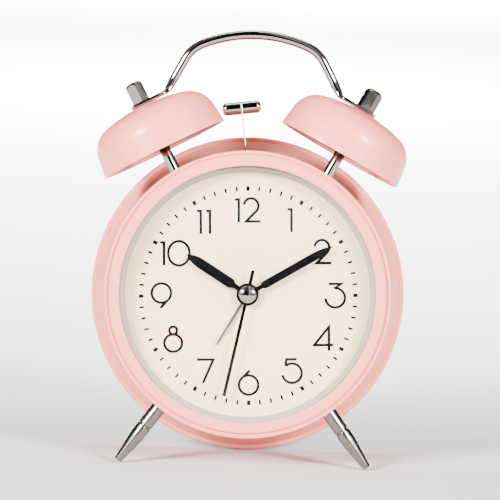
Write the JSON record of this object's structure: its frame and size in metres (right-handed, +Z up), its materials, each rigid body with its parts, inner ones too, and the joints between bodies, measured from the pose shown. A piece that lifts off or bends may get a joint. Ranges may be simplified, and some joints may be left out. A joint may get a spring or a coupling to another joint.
{
  "type": "twin-bell alarm clock",
  "caption": "Twin-bell analog alarm clock with a flared round case, chrome handle, hammer and feet, cream dial, and a full quartz movement, ringer and battery bay inside",
  "frame": {"origin": "middle of the bounding box in plan, on the surface that the clock stands on", "axes": "+Z up, +X to the right of someone reading the dial, +Y to the back; the dial faces -Y and leans back by 7 degrees"},
  "size_m": [0.12, 0.0611, 0.1616],
  "materials": {
    "case_paint": "semi-gloss pale pink enamel",
    "bell_paint": "satin pale pink enamel",
    "chrome": "polished chrome plate",
    "lens_glass": "clear flat lens",
    "ring_grey": "light grey moulded spacer",
    "dial_print": "cream printed dial",
    "hand_black": "matte black paint",
    "hand_silver": "thin stamped alarm hand",
    "white_plastic": "moulded white plastic",
    "black_plastic": "moulded black plastic",
    "grey_plastic": "moulded grey plastic",
    "gear_plastic": "acetal gears",
    "brass": "stamped brass",
    "steel": "zinc-plated steel",
    "fibre": "fibre washer",
    "board": "circuit board",
    "copper_coil": "enamelled copper winding",
    "battery_sleeve": "plain battery sleeve",
    "lead_sleeve": "insulated lead"
  },
  "bodies": {
    "case": {"case_shell": "case_paint", "front_bezel": "case_paint", "lens": "lens_glass", "spacer_ring": "ring_grey", "dial_plate": "dial_print", "left_bell": "bell_paint", "right_bell": "bell_paint", "left_bell_post": "chrome", "right_bell_post": "chrome", "bell_screws": "chrome", "bell_washers": "fibre", "left_cap_nut": "chrome", "right_cap_nut": "chrome", "handle": "chrome", "left_foot": "chrome", "right_foot": "chrome", "foot_nuts": "steel", "back_cover": "white_plastic", "back_cover_screws": "steel", "battery": "battery_sleeve", "battery_contact_positive": "steel", "battery_spring": "steel", "hammer_pivot_pin": "steel", "motor_bracket": "steel", "alarm_motor": "steel", "motor_leads": "lead_sleeve", "movement_front_housing": "grey_plastic", "movement_back_housing": "grey_plastic", "circuit_board": "board", "quartz_crystal": "steel", "drive_coil": "copper_coil", "stator": "steel", "alarm_contact_spring": "brass"},
    "second_hand": {"second_hand": "hand_black", "second_hand_cap": "chrome", "seconds_wheel": "gear_plastic"},
    "step_wheel": {"step_wheel": "gear_plastic"},
    "rotor": {"rotor": "steel"},
    "third_wheel": {"third_wheel": "gear_plastic"},
    "centre_drive_wheel": {"centre_drive_wheel": "brass"},
    "minute_hand": {"minute_hand": "hand_black", "minute_arbor": "brass"},
    "minute_wheel": {"minute_wheel": "gear_plastic"},
    "hour_hand": {"hour_hand": "hand_black", "hour_wheel": "gear_plastic"},
    "time_knob": {"time_set_knob": "black_plastic", "time_set_spindle": "white_plastic"},
    "alarm_hand": {"alarm_hand": "hand_silver", "alarm_wheel": "brass"},
    "alarm_knob": {"alarm_set_knob": "black_plastic", "alarm_set_spindle": "white_plastic"},
    "hammer": {"hammer_head": "chrome", "hammer_rod": "chrome", "hammer_lever": "brass"},
    "motor_crank": {"motor_crank": "white_plastic"},
    "alarm_switch": {"alarm_switch_slider": "black_plastic"},
    "battery_door": {"battery_door": "white_plastic"}
  },
  "joints": [
    {"name": "second_hand_turn", "type": "hinge", "parent": "case", "child": "second_hand", "pos_m": [0, -0.00488, 0.06273], "axis": [0, 0.9925, -0.1219], "continuous": true},
    {"name": "step_wheel_turn", "type": "hinge", "parent": "case", "child": "step_wheel", "pos_m": [0.00752, -0.00381, 0.05502], "axis": [0, 0.9925, -0.1219], "continuous": true},
    {"name": "rotor_turn", "type": "hinge", "parent": "case", "child": "rotor", "pos_m": [0.01261, -0.00741, 0.05033], "axis": [0, 0.9925, -0.1219], "continuous": true},
    {"name": "third_wheel_turn", "type": "hinge", "parent": "case", "child": "third_wheel", "pos_m": [-0.01043, -0.00671, 0.06014], "axis": [0, 0.9925, -0.1219], "continuous": true},
    {"name": "centre_drive_turn", "type": "hinge", "parent": "case", "child": "centre_drive_wheel", "pos_m": [0, -0.00786, 0.0631], "axis": [0, 0.9925, -0.1219], "continuous": true},
    {"name": "minute_hand_turn", "type": "hinge", "parent": "case", "child": "minute_hand", "pos_m": [0, -0.00984, 0.06334], "axis": [0, 0.9925, -0.1219], "continuous": true},
    {"name": "minute_wheel_turn", "type": "hinge", "parent": "case", "child": "minute_wheel", "pos_m": [0, -0.00838, 0.07525], "axis": [0, 0.9925, -0.1219], "continuous": true},
    {"name": "hour_hand_turn", "type": "hinge", "parent": "case", "child": "hour_hand", "pos_m": [0, -0.01183, 0.06358], "axis": [0, 0.9925, -0.1219], "continuous": true},
    {"name": "time_knob_turn", "type": "hinge", "parent": "case", "child": "time_knob", "pos_m": [0.0135, 0.02139, 0.07159], "axis": [0, 0.9925, -0.1219], "continuous": true},
    {"name": "alarm_hand_turn", "type": "hinge", "parent": "case", "child": "alarm_hand", "pos_m": [0, -0.01282, 0.0637], "axis": [0, 0.9925, -0.1219], "continuous": true},
    {"name": "alarm_knob_turn", "type": "hinge", "parent": "case", "child": "alarm_knob", "pos_m": [-0.0135, 0.02138, 0.0715], "axis": [0, 0.9925, -0.1219], "continuous": true},
    {"name": "hammer_swing", "type": "hinge", "parent": "case", "child": "hammer", "pos_m": [0, -0.00248, 0.09871], "axis": [0, 0.9925, -0.1219], "range_deg": [0, 14.4]},
    {"name": "crank_turn", "type": "hinge", "parent": "case", "child": "motor_crank", "pos_m": [0.017, 0.0005, 0.09834], "axis": [0, 0.9925, -0.1219], "continuous": true},
    {"name": "alarm_switch_slide", "type": "slide", "parent": "case", "child": "alarm_switch", "axis": [1, 0, 0], "range_m": [0, 0.004]},
    {"name": "battery_door_hinge", "type": "hinge", "parent": "case", "child": "battery_door", "pos_m": [0, 0.014, 0.01548], "axis": [1, 0, 0], "range_deg": [-95, 0]}
  ],
  "couplings": [
    {"joint": "step_wheel_turn", "follows": "second_hand_turn", "ratio": -6},
    {"joint": "rotor_turn", "follows": "second_hand_turn", "ratio": 30},
    {"joint": "third_wheel_turn", "follows": "second_hand_turn", "ratio": -0.13333},
    {"joint": "centre_drive_turn", "follows": "second_hand_turn", "ratio": 0.016667},
    {"joint": "minute_wheel_turn", "follows": "minute_hand_turn", "ratio": -0.33333},
    {"joint": "hour_hand_turn", "follows": "minute_hand_turn", "ratio": 0.083333},
    {"joint": "time_knob_turn", "follows": "minute_hand_turn", "ratio": 0.66667},
    {"joint": "alarm_knob_turn", "follows": "alarm_hand_turn", "ratio": -2}
  ]
}
